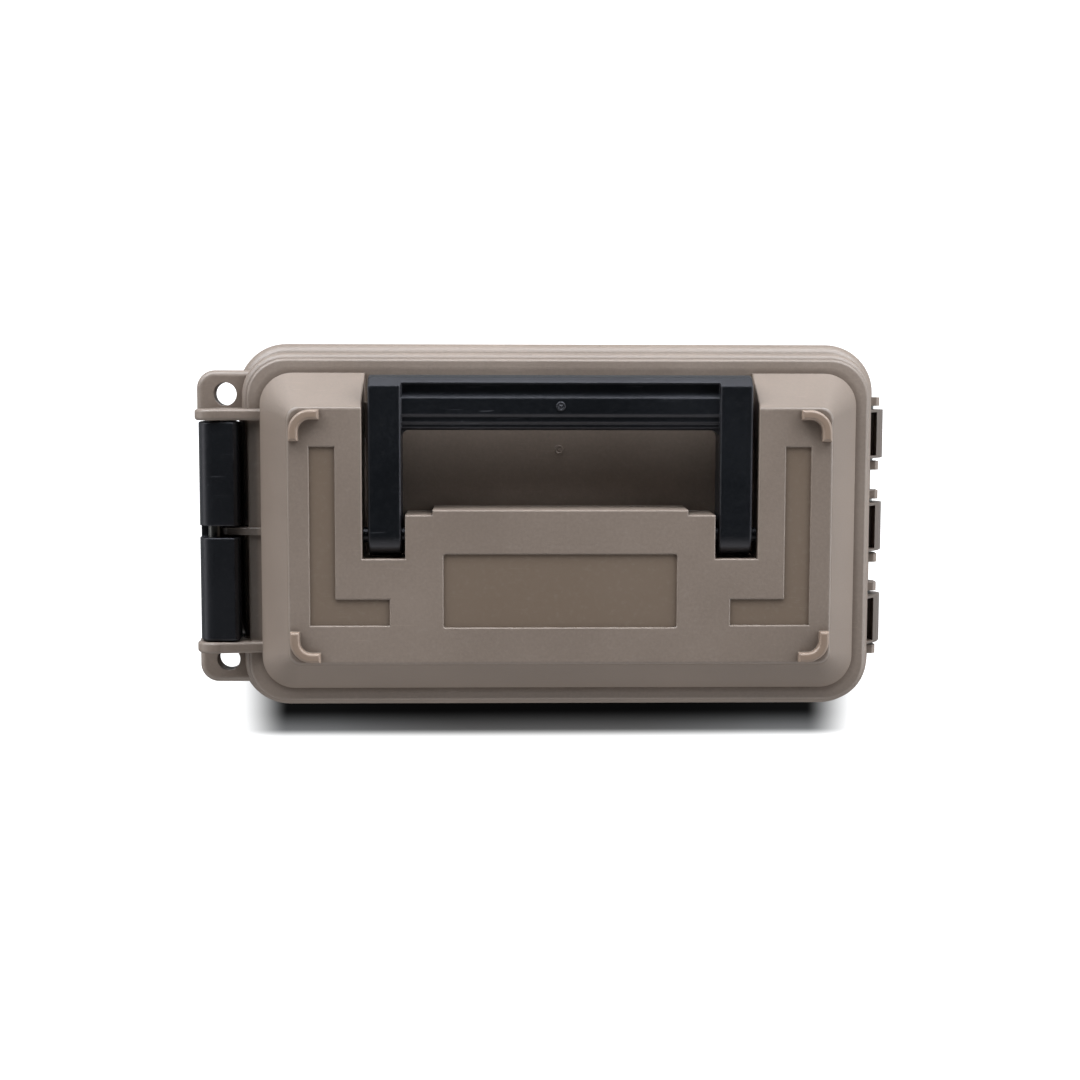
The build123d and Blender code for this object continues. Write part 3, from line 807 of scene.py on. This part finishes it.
def hang_softboxes(scene, studio):
    """Three soft lights on the grip side and one at the hinge end, all aimed at the lid."""
    powers = {
        "key_softbox": studio.key_power,
        "key_softbox_right": studio.key_power * RIGHT_SHARE,
        "key_softbox_left": studio.key_power,
        "end_softbox": studio.side_power,
    }
    for name, (bearing, height, wide, high) in SOFTBOXES.items():
        turn, rise = radians(bearing), radians(height)
        toward = Vector((sin(turn) * cos(rise), cos(turn) * cos(rise), sin(rise)))
        lamp = bpy.data.lights.new(name, "AREA")
        lamp.shape = "RECTANGLE"
        lamp.size = wide
        lamp.size_y = high
        lamp.energy = powers[name]
        lamp.color = studio.key_colour
        softbox = bpy.data.objects.new(name, lamp)
        softbox.location = SOFTBOX_TARGET + SOFTBOX_REACH * toward
        softbox.rotation_euler = (-toward).to_track_quat("-Z", "Y").to_euler()
        softbox.visible_camera = False
        scene.collection.objects.link(softbox)


def place_camera(scene, studio):
    """The camera above the lid, looking almost straight down."""
    lens = bpy.data.cameras.new("camera")
    lens.lens = studio.lens
    lens.sensor_width = 36.0
    lens.clip_start = 0.01
    camera = bpy.data.objects.new("camera", lens)
    turn = (
        Matrix.Rotation(-CAMERA_YAW, 4, "Y")
        @ Matrix.Rotation(-CAMERA_PITCH, 4, "X")
        @ Matrix.Rotation(-CAMERA_ROLL, 4, "Z")
    )
    camera.matrix_world = Matrix.Translation(CAMERA_PLACE) @ turn
    scene.collection.objects.link(camera)
    scene.camera = camera


# ---------------------------------------------------------------- operators


class CAN_OT_finishes(bpy.types.Operator):
    """Give every part of the can its plastic, steel or rubber finish"""

    bl_idname = "can.finishes"
    bl_label = "Finishes"

    def execute(self, context):
        look = context.scene.can_finish
        groups = {
            "grain": make_grain_group(),
            "edges": make_edge_group(),
            "handling": make_handling_group(),
            "shade_and_grime": make_corner_shade_group(),
        }
        lid_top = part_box("lid_shell")[1].z - RIB_HIGH
        by_node = {
            "lid_shell": make_tan(look, groups, "tan_plastic_lid", lid_top),
            "body_tub": make_tan(look, groups, "tan_plastic_tub", None),
            "carry_handle": make_black(look, groups, "black_plastic_handle", 0.30, 0.38),
            "latch_lever": make_black(look, groups, "black_plastic_latch", 0.34, 0.42),
            "lid_gasket": make_rubber(look, groups),
        }
        steel = make_steel(look, groups)
        by_node.update({name: steel for name in PIN_NODES})
        by_node.update({name: by_node["carry_handle"] for name in TRUNNION_NODES})
        for name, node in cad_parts.items():
            if not node.material_slots:
                node.data.materials.append(by_node[name])
            for place in node.material_slots:
                place.material = by_node[name]
        return {"FINISHED"}


class CAN_OT_gate_marks(bpy.types.Operator):
    """Add the round injection gates on the pocket floor and on the grip"""

    bl_idname = "can.gate_marks"
    bl_label = "Gate marks"

    def execute(self, context):
        marks = context.scene.can_marks
        for name, centre, body, slot, finish in GATE_PLACES:
            mark = round_mark(centre, marks.gate_radius, marks.gate_height, marks.gate_height * 0.8)
            settle(mark, name, body, bpy.data.materials[finish])
        return {"FINISHED"}


class CAN_OT_ejector_marks(bpy.types.Operator):
    """Add the round marks that the ejector pins left on the tub's floor"""

    bl_idname = "can.ejector_marks"
    bl_label = "Ejector marks"

    def execute(self, context):
        marks = context.scene.can_marks
        low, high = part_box("body_tub")
        across, along = 0.23 * (high.y - low.y), 0.22 * (high.x - low.x)
        centre = (0.0, 0.0, low.z + marks.tub_floor)
        pattern = round_mark(centre, marks.ejector_radius, marks.ejector_height, marks.ejector_height * 0.5)
        finish = bpy.data.materials["tan_plastic_tub"]
        for end, row in EJECTOR_ROWS.items():
            for flank, side in EJECTOR_SIDES.items():
                clear_selection()
                pattern.select_set(True)
                context.view_layer.objects.active = pattern
                bpy.ops.object.duplicate(linked=False)
                mark = context.object
                mark.location.x += row * along
                mark.location.y += side * across
                settle(mark, "ejector_mark_%s_%s" % (end, flank), "body", finish)
        bpy.data.objects.remove(pattern)
        return {"FINISHED"}


class CAN_OT_stage(bpy.types.Operator):
    """Set the pale floor, the soft lights and the camera above the lid"""

    bl_idname = "can.stage"
    bl_label = "Stage"

    def execute(self, context):
        studio = context.scene.can_studio
        lay_floor(studio)
        light_room(context.scene, studio)
        hang_softboxes(context.scene, studio)
        place_camera(context.scene, studio)
        context.scene.view_settings.view_transform = "Standard"
        return {"FINISHED"}


class CAN_PT_panel(bpy.types.Panel):
    """Lists the operators that finish the can"""

    bl_label = "Ammo Can"
    bl_idname = "CAN_PT_panel"
    bl_space_type = "VIEW_3D"
    bl_region_type = "UI"
    bl_category = "Ammo Can"

    def draw(self, context):
        for operator in OPERATORS:
            self.layout.operator(operator.bl_idname)


SETTINGS = {
    "can_finish": CAN_PG_finish,
    "can_marks": CAN_PG_marks,
    "can_studio": CAN_PG_studio,
}
OPERATORS = (CAN_OT_finishes, CAN_OT_gate_marks, CAN_OT_ejector_marks, CAN_OT_stage)
CLASSES = (*SETTINGS.values(), *OPERATORS, CAN_PT_panel)


def register():
    for made in CLASSES:
        bpy.utils.register_class(made)
    for name, group in SETTINGS.items():
        setattr(bpy.types.Scene, name, PointerProperty(type=group))


def unregister():
    for name in SETTINGS:
        delattr(bpy.types.Scene, name)
    for made in reversed(CLASSES):
        bpy.utils.unregister_class(made)


def main():
    register()
    for operator in OPERATORS:
        group, name = operator.bl_idname.split(".")
        getattr(getattr(bpy.ops, group), name)()


if __name__ == "__main__":
    main()
